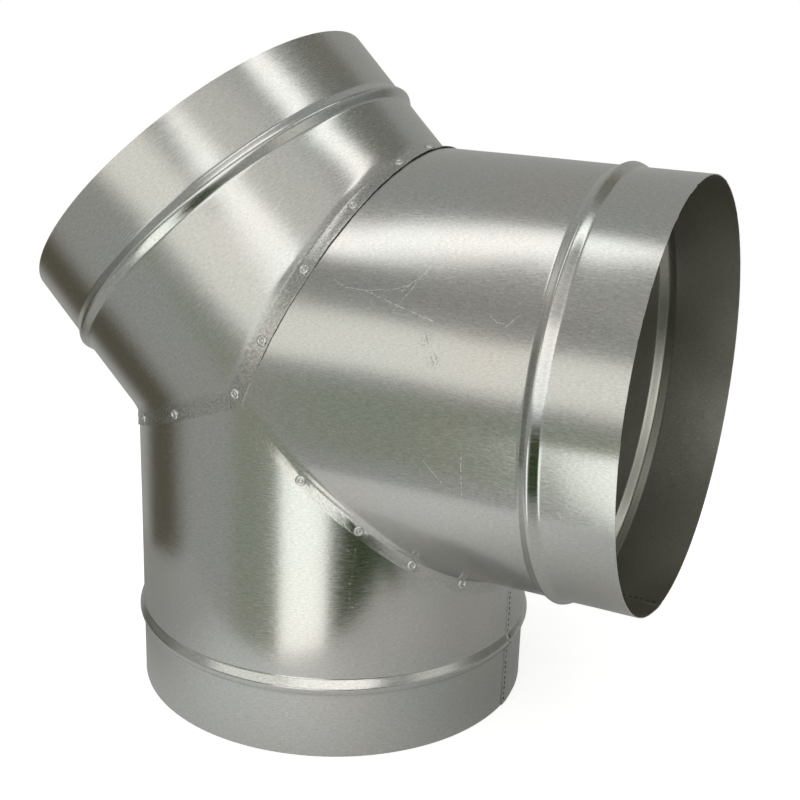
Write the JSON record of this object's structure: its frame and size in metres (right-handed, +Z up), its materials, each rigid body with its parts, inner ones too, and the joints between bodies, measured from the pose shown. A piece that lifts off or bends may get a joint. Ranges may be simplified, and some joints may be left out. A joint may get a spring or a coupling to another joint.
{
  "type": "lateral wye fitting",
  "caption": "Riveted sheet-steel duct wye: a leaning trunk, a side outlet and a foot outlet meet at lapped mitre joints, and each ends in a spigot with a stop bead.",
  "frame": {"origin": "centre of the foot outlet's mouth, on which the wye stands", "axes": "+Z up the foot outlet's axis, +X along the side outlet's axis toward its mouth; all three axes lie in the XZ plane and cross at Z = 0.219 m, and the trunk leans to -X and +Z at 45 degrees"},
  "size_m": [0.4057, 0.2544, 0.4057],
  "materials": {
    "galvanised_sheet": "galvanised, satin with a fine rolled grain",
    "rivet_steel": "zinc plated, satin"
  },
  "bodies": {
    "root": {"trunk_branch": "galvanised_sheet", "side_branch": "galvanised_sheet", "foot_branch": "galvanised_sheet", "trunk_side_rivets": "rivet_steel", "trunk_foot_rivets": "rivet_steel", "side_foot_rivets": "rivet_steel"}
  },
  "joints": []
}
